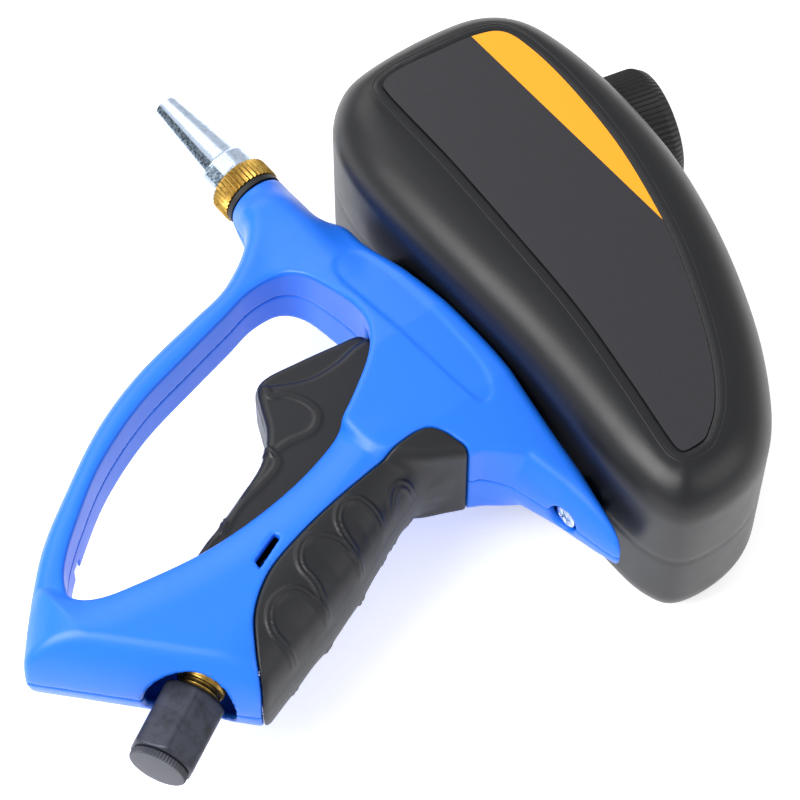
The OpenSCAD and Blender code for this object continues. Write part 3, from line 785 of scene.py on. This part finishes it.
seat_wall = tube(x3, y3, z, CAP_AT + (4 - TANK_WALL) * CAP_WAY, CAP_AT + 40 * CAP_WAY, 23.5)
inner = np.maximum(inner, -seat_wall)
post = tube(x3, y3, z, (TAIL_X, 8, 0), (TAIL_X, 26, 0), 6)
inner = np.maximum(inner, -post)
tank = np.minimum(tank, tube(x3, y3, z, CAP_AT - 4 * CAP_WAY, CAP_AT + 13 * CAP_WAY, 17))
tank = join(tank, tube(x3, y3, z, (FEED_X, 10.7, 0), (FEED_X, 22, 0), 9), 2)
tank = np.minimum(tank, tube(x3, y3, z, (TAIL_X, 11.3, 0), (TAIL_X, 26, 0), 6))
tank = np.maximum(tank, -inner)
for start, end, r in ((CAP_AT - 12 * CAP_WAY, CAP_AT + 28 * CAP_WAY, 14.5),
                      (np.array([FEED_X, 5, 0]), np.array([FEED_X, 25, 0]), 5.5),
                      (np.array([TAIL_X, 5, 0]), np.array([TAIL_X, 22, 0]), 3.6)):
    tank = cut(tank, tube(x3, y3, z, start, end, r), 0.5)
points, faces = skin(tank, corner, step)
piece("tank_shell", points, faces, tank_poly, "gun", "tank_plastic", "tank")

# %% [markdown]
# ## Flat label, turned parts and repeated parts
# The label is the outline filled and given its thickness. The nozzle and the threaded
# adapter are turned on a lathe: a profile spun about an axis.


# %% Label plate
def extruded(loop, low_z, high_z):
    """Points and faces of a flat plate with the given outline."""
    n = len(loop)
    points = [(*p, h) for h in (low_z, high_z) for p in loop]
    if sum(a[0] * b[1] - b[0] * a[1] for a, b in zip(loop, np.roll(loop, -1, 0))) < 0:
        points = [(*p, h) for h in (low_z, high_z) for p in loop[::-1]]
    walls = [(i, (i + 1) % n, n + (i + 1) % n, n + i) for i in range(n)]
    return points, walls + [tuple(range(n))[::-1], tuple(range(n, 2 * n))]


points, faces = extruded(LABEL, TANK_HALF - 0.78, TANK_HALF - 0.28)
label = piece("tank_label_film", points, faces, label_film, "gun", "label_film", "tank_label")
for polygon in label.data.polygons:
    polygon.use_smooth = False


# %% Two raised lines around the label
def sideways(loop):
    """The direction square to a closed curve at each of its points."""
    ahead = np.roll(loop, -1, 0) - np.roll(loop, 1, 0)
    return np.stack([ahead[:, 1], -ahead[:, 0]], 1) / np.linalg.norm(ahead, axis=1)[:, None]


def offset_loop(loop, out):
    """The curve moved outwards by a distance."""
    area = np.sum(loop[:, 0] * np.roll(loop[:, 1], -1) - np.roll(loop[:, 0], -1) * loop[:, 1])
    return loop + sideways(loop) * out * np.sign(area)


def bead(loop, heights, r, sides=8):
    """A closed round wire along a curve at the given heights."""
    points, faces = [], []
    for p, side, h in zip(loop, sideways(loop), heights):
        for k in range(sides):
            a = 2 * math.pi * k / sides
            points.append((*(p + side * r * math.cos(a)), h + r * math.sin(a)))
    n = len(loop)
    for i in range(n):
        for k in range(sides):
            j, m = (i + 1) % n, (k + 1) % sides
            faces.append((i * sides + k, j * sides + k, j * sides + m, i * sides + m))
    return points, faces


def bead_around_label(out, sunk, r):
    """One raised line that far outside the label, on the tank's curved face."""
    loop = offset_loop(LABEL, out)
    depth = away(loop[:, :1], loop[:, 1:], TANK)[:, 0]
    drop = np.maximum(depth + TANK_ROUND, 0)
    heights = TANK_HALF - TANK_ROUND + np.sqrt(TANK_ROUND ** 2 - drop ** 2) - sunk
    return bead(loop, heights, r)


for name, out, sunk, r in (("inner", 1.1, 0.62, 0.3), ("outer", 3.4, 0.42, 0.32)):
    points, faces = bead_around_label(out, sunk, r)
    piece("tank_label_line_" + name, points, faces, tank_poly, "gun", "tank_plastic")


# %% Lathe
def lathe(profile, around=96):
    """Points and faces of a closed profile of (radius, height) spun about z. Radius 0
    makes a single point on the axis."""
    points, rings, faces = [], [], []
    for r, h in profile:
        if r < 1e-6:
            rings.append([len(points)] * around)
            points.append((0, 0, h))
            continue
        rings.append(list(range(len(points), len(points) + around)))
        for i in range(around):
            a = 2 * math.pi * i / around
            points.append((r * math.cos(a), r * math.sin(a), h))
    for one, two in zip(rings, rings[1:] + rings[:1]):
        for i in range(around):
            j = (i + 1) % around
            face = list(dict.fromkeys((one[i], one[j], two[j], two[i])))
            if len(face) > 2:
                faces.append(face)
    return np.array(points), faces


def stood(points, at, way, turn=0.0):
    """Points of a piece drawn about z, set down at a place with z along a direction."""
    way = Vector(way).normalized()
    spin = way.to_track_quat("Z", "Y").to_matrix() @ Matrix.Rotation(turn, 3, "Z")
    return np.asarray(points) @ np.array(spin).T + np.asarray(at)


def rounded(profile, r=0.35, steps=3):
    """A closed profile whose corners are rounded by about r."""
    p = [np.array(q, float) for q in profile]
    out = []
    for a, b, c in zip(p[-1:] + p[:-1], p, p[1:] + p[:1]):
        if b[0] < 1e-6:
            out.append(tuple(b))
            continue
        in_, on = a - b, c - b
        size = min(r, np.linalg.norm(in_) * 0.45, np.linalg.norm(on) * 0.45)
        start = b + in_ / np.linalg.norm(in_) * size
        end = b + on / np.linalg.norm(on) * size
        for k in range(steps + 1):
            t = k / steps
            out.append(tuple((1 - t) ** 2 * start + 2 * t * (1 - t) * b + t * t * end))
    return out


# %% Nozzle
NOZZLE_L = 48.5
FLAT_AT = 8.1
profile = rounded([
    (3, -11), (6, -11), (6, 9.9), (9.4, 9.9), (9.4, 16.5), (8.1, 17.3), (7.7, 18.2),
    (4.7, NOZZLE_L), (3, NOZZLE_L)])
fine = []
for a, b in zip(profile, profile[1:] + profile[:1]):
    cuts = max(1, int(np.hypot(b[0] - a[0], b[1] - a[1]) / 0.8))
    fine += [tuple(np.array(a) + (np.array(b) - a) * k / cuts) for k in range(cuts)]
points, faces = lathe(fine, 160)
collar = (points[:, 2] > 10.2) & (points[:, 2] < 16.6)
points[collar, 0] = np.clip(points[collar, 0], -FLAT_AT, FLAT_AT)
nozzle_points = stood(points, (BARREL_FRONT, 0, 0), (-1, 0, 0), math.radians(57))
piece("nozzle_turned", nozzle_points, faces, nozzle_zinc_painted_reflection, "nozzle", "zinc_steel", "nozzle")

# %% [markdown]
# ## Ribs and knurls with Geometry Nodes
# A knurl is one tooth repeated around an axis. One node tree does that for every ribbed
# part: it turns a copy of a slice for each of Count points, makes the copies real and
# welds them. The slice spans the whole part's section, so the result is a closed solid.


# %% The tree that repeats a slice
def repeat_tree(material):
    tree = bpy.data.node_groups.new("repeat_around_axis", "GeometryNodeTree")
    face = tree.interface
    face.new_socket("Slice", in_out="INPUT", socket_type="NodeSocketObject")
    face.new_socket("Count", in_out="INPUT", socket_type="NodeSocketInt")
    face.new_socket("Geometry", in_out="OUTPUT", socket_type="NodeSocketGeometry")
    start = add(tree, "NodeGroupInput")
    slice_ = add(tree, "GeometryNodeObjectInfo", links={"Object": start.outputs["Slice"]})
    spots = add(tree, "GeometryNodePoints", links={"Count": start.outputs["Count"]})
    index = add(tree, "GeometryNodeInputIndex")
    share = add(tree, "ShaderNodeMath", {1: 2 * math.pi}, {0: index.outputs[0]},
                operation="MULTIPLY")
    angle = add(tree, "ShaderNodeMath", None,
                {0: share.outputs[0], 1: start.outputs["Count"]}, operation="DIVIDE")
    turn = add(tree, "ShaderNodeCombineXYZ", links={"Z": angle.outputs[0]})
    copies = add(tree, "GeometryNodeInstanceOnPoints", None,
                 {"Points": spots.outputs[0], "Instance": slice_.outputs["Geometry"],
                  "Rotation": turn.outputs[0]})
    real = add(tree, "GeometryNodeRealizeInstances", links={"Geometry": copies.outputs[0]})
    weld = add(tree, "GeometryNodeMergeByDistance", {"Distance": 1e-6},
               {"Geometry": real.outputs[0]})
    paint = add(tree, "GeometryNodeSetMaterial", {"Material": material},
                {"Geometry": weld.outputs[0]})
    add(tree, "NodeGroupOutput", links={"Geometry": paint.outputs[0]})
    return tree


def carrier(tree, values):
    """Runs a tree on an empty mesh object and returns its result as a plain mesh."""
    holder = bpy.data.objects.new("holder", bpy.data.meshes.new("holder"))
    bpy.context.scene.collection.objects.link(holder)
    modifier = holder.modifiers.new("nodes", "NODES")
    modifier.node_group = tree
    for item in tree.interface.items_tree:
        if item.in_out == "INPUT" and item.name in values:
            modifier[item.identifier] = values[item.name]
    bpy.context.view_layer.update()
    seen = holder.evaluated_get(bpy.context.evaluated_depsgraph_get())
    mesh = bpy.data.meshes.new_from_object(seen)
    bpy.data.objects.remove(holder)
    return mesh


def slice_object(profile, depth, count, across=6):
    """One rib of a ribbed part: a closed profile of (radius, height, ribbed) over its
    share of the circle, with the rib's swell in the middle of the slice."""
    points, faces = [], []
    span = 2 * math.pi / count
    for i in range(across + 1):
        share = i / across
        swell = 0.5 - 0.5 * math.cos(2 * math.pi * share)
        for r, h, ribbed in profile:
            radius = r - (depth * (1 - swell) if ribbed else 0)
            a = span * share
            points.append((radius * math.cos(a) * MM, radius * math.sin(a) * MM, h * MM))
    n = len(profile)
    for i in range(across):
        for k in range(n):
            j = (k + 1) % n
            if profile[k][0] < 1e-6 and profile[j][0] < 1e-6:
                continue
            faces.append((i * n + k, (i + 1) * n + k, (i + 1) * n + j, i * n + j))
    mesh = bpy.data.meshes.new("slice")
    mesh.from_pydata(points, [], faces)
    made = bpy.data.objects.new("slice", mesh)
    bpy.context.scene.collection.objects.link(made)
    return made


def ribbed_part(name, profile, depth, count, at, way, material, body, slot, *nodes):
    """A ribbed part from its profile, set down in its place."""
    one = slice_object(profile, depth, count)
    mesh = carrier(repeat_tree(material), {"Slice": one, "Count": count})
    bpy.data.objects.remove(one)
    co = np.zeros(len(mesh.vertices) * 3)
    mesh.vertices.foreach_get("co", co)
    co = stood(co.reshape(-1, 3), np.asarray(at) * MM + ORIGIN, way)
    mesh.vertices.foreach_set("co", co.ravel())
    mesh.shade_smooth()
    mesh.set_sharp_from_angle(angle=math.radians(40))
    mesh.name = name
    made = bpy.data.objects.new(name, mesh)
    bpy.context.scene.collection.objects.link(made)
    finish_piece(made, body, slot, *nodes)
    print(f"{name}: {count} ribs, {len(mesh.polygons)} faces")
    return made


# %% Knurled ring
def marked(profile, is_ribbed):
    return [(r, h, is_ribbed(r, h)) for r, h in profile]


ring = marked(rounded([(6.06, 2.4), (10.6, 2.4), (10.6, 9.6), (6.06, 9.6)], 0.5, 2),
              lambda r, h: r > 10)
ribbed_part("nozzle_ring_knurled", ring, 0.6, 40, (BARREL_FRONT, 0, 0), (-1, 0, 0), brass,
            "nozzle_ring", "brass", "nozzle_ring")

# %% Filler cap
cap = marked(rounded([(0, 16.2), (17.3, 16.2), (17.3, 4.6), (21, 4.6), (21, 16.4), (19, 19.8),
                      (0, 19.8)], 0.7, 3), lambda r, h: r > 19.8)
ribbed_part("filler_cap_ribbed", cap, 0.55, 72, CAP_AT, CAP_WAY, cap_nylon, "filler_cap",
            "black_nylon", "filler_cap")

# %% Dust cap
dust = marked(rounded([(0, 22.3), (7, 22.3), (7, 21.3), (9, 21.3), (9, 23.1), (8.5, 23.5),
                       (0, 23.5)], 0.2, 2), lambda r, h: r > 8.7)
ribbed_part("dust_cap_serrated", dust, 0.35, 56, INLET_AT, INLET_WAY, dust_poly, "dust_cap",
            "dust_cap_plastic", "inlet_cap")

# %% [markdown]
# ## Small cut parts
# The hex of the inlet and the two kinds of screw are small, with edges worn by tools.
# The same distances as for the mouldings give them soft corners.


# %% Hex fitting
step = 0.4 * FINE
HEX_FROM, HEX_L = -1, 22
HEX_MID = HEX_FROM + HEX_L / 2
corner = (-12.5, -12.5, HEX_FROM - 1.5)
x, y, z = lattice(corner, (12.5, 12.5, 22.5), step)
hexagon = np.max([np.abs(x * math.cos(a) + y * math.sin(a)) for a in
                  np.radians((30, 90, 150))], 0)[:, :, None] - 9.5
around = np.hypot(x, y)[:, :, None]
hex_part = keep(hexagon, around - 10.7 + 0 * z, 0.8)
hex_part = keep(hex_part, np.abs(z - HEX_MID) - HEX_L / 2, 0.8)
chamfer = around + np.abs(z - HEX_MID) - HEX_L / 2 - 9.6
hex_part = keep(hex_part, chamfer * 0.7, 0.5)
hex_part = np.maximum(hex_part, -(around - 5.7 + 0 * z))
hex_part = np.maximum(hex_part, -np.maximum(around - 6.85, z - 11.2))
points, faces = skin(hex_part, corner, step)
piece("inlet_hex", stood(points, INLET_AT, INLET_WAY, math.radians(15)), faces, oxide, "gun",
      "black_oxide_steel", "inlet_fitting")

# %% Threaded adapter
thread = [(4.2, -7), (3.02, -7), (3.02, -9), (7.5, -9), (7.5, -5)]
pitch = 1.3
for k in range(12):
    thread += [(6.35, -5 + pitch * (k + 0.1)), (6.8, -5 + pitch * (k + 0.5)),
               (6.8, -5 + pitch * (k + 0.65))]
points, faces = lathe(thread + [(6.3, 11), (4.2, 11)], 64)
piece("inlet_adapter_threaded", stood(points, INLET_AT, INLET_WAY), faces, brass, "gun", "brass",
      "inlet_adapter")


# %% Cross-head screws
def screw_mesh(head_r, head_h, shank_r, shank_l, cross_w, step):
    """A pan-head screw about z, its head's underside at 0 and its shank down to -shank_l."""
    corner = (-head_r - 1, -head_r - 1, -shank_l - 1)
    x, y, z = lattice(corner, (head_r + 1, head_r + 1, head_h + 1), step)
    around = np.hypot(x, y)[:, :, None]
    head = keep(around - head_r + 0 * z, np.maximum(z - head_h + 0.06 * around ** 2 / head_r, -z), 0.6)
    shank = np.maximum(around - shank_r, np.maximum(z - 0.5, -shank_l - z))
    screw = np.minimum(head, shank)
    for a, b in ((x, y), (y, x)):
        bar = np.maximum(np.abs(a) - cross_w, np.abs(b) - head_r * 0.62)[:, :, None]
        screw = cut(screw, np.maximum(bar, head_h * 0.35 - z), 0.2)
    return skin(screw, corner, step, 2)


points, faces = screw_mesh(4, 2.2, 2, 14.5, 0.55, 0.3 * FINE)
piece("tank_screw_cross", stood(points, (TAIL_X, 3.5, 0), (0, -1, 0), 0.5), faces, zinc, "gun",
      "zinc_steel", "tank_screw")

# %% [markdown]
# The case screws are one screw repeated at seven places, so Geometry Nodes put them there.

# %% Case screws
points, faces = screw_mesh(2.9, 2.2, 1.4, 12, 0.4, 0.3 * FINE)
mesh = bpy.data.meshes.new("one_screw")
mesh.from_pydata((np.asarray(points) * MM).tolist(), [], faces.tolist())
one_screw = bpy.data.objects.new("one_screw", mesh)
bpy.context.scene.collection.objects.link(one_screw)
tree = bpy.data.node_groups.new("copies_at_points", "GeometryNodeTree")
tree.interface.new_socket("Part", in_out="INPUT", socket_type="NodeSocketObject")
tree.interface.new_socket("Places", in_out="INPUT", socket_type="NodeSocketObject")
tree.interface.new_socket("Geometry", in_out="OUTPUT", socket_type="NodeSocketGeometry")
start = add(tree, "NodeGroupInput")
part = add(tree, "GeometryNodeObjectInfo", links={"Object": start.outputs["Part"]})
spots = add(tree, "GeometryNodeObjectInfo", links={"Object": start.outputs["Places"]})
copies = add(tree, "GeometryNodeInstanceOnPoints", {"Rotation": (math.pi, 0, 0)},
             {"Points": spots.outputs["Geometry"], "Instance": part.outputs["Geometry"]})
real = add(tree, "GeometryNodeRealizeInstances", links={"Geometry": copies.outputs[0]})
paint = add(tree, "GeometryNodeSetMaterial", {"Material": zinc}, {"Geometry": real.outputs[0]})
add(tree, "NodeGroupOutput", links={"Geometry": paint.outputs[0]})
places = bpy.data.objects.new("places", bpy.data.meshes.new("places"))
places.data.from_pydata(placed([(a, b, -6) for a, b in SCREWS]).tolist(), [], [])
bpy.context.scene.collection.objects.link(places)
mesh = carrier(tree, {"Part": one_screw, "Places": places})
mesh.shade_smooth()
for helper in (one_screw, places):
    bpy.data.objects.remove(helper)
case_screws = bpy.data.objects.new("case_screws", mesh)
bpy.context.scene.collection.objects.link(case_screws)
finish_piece(case_screws, "gun", "zinc_steel", "housing_screws")
print("case screws:", len(mesh.polygons), "faces")

# %% [markdown]
# ## Finishes for the CAD parts that stay
# The valve, the tubes, the jet and the seals already have their true shape in the CAD, so
# they only get their finish.

# %% Dress the CAD parts
PAINT = {
    "zinc_steel": zinc, "brass": brass, "nitrile": nitrile, "black_nylon": trigger_nylon,
    "tank_plastic": tank_poly, "soft_grip": grip_rubber, "abs_shell": blue_abs,
    "black_oxide_steel": oxide, "dust_cap_plastic": dust_poly, "label_film": label_film}
for row in frame["record"]["subparts"]:
    thing = frame["nodes"][row["node"]]
    thing.data.materials.clear()
    thing.data.materials.append(PAINT[row["material_slot"]])
print("dressed", len(frame["nodes"]), "CAD parts")
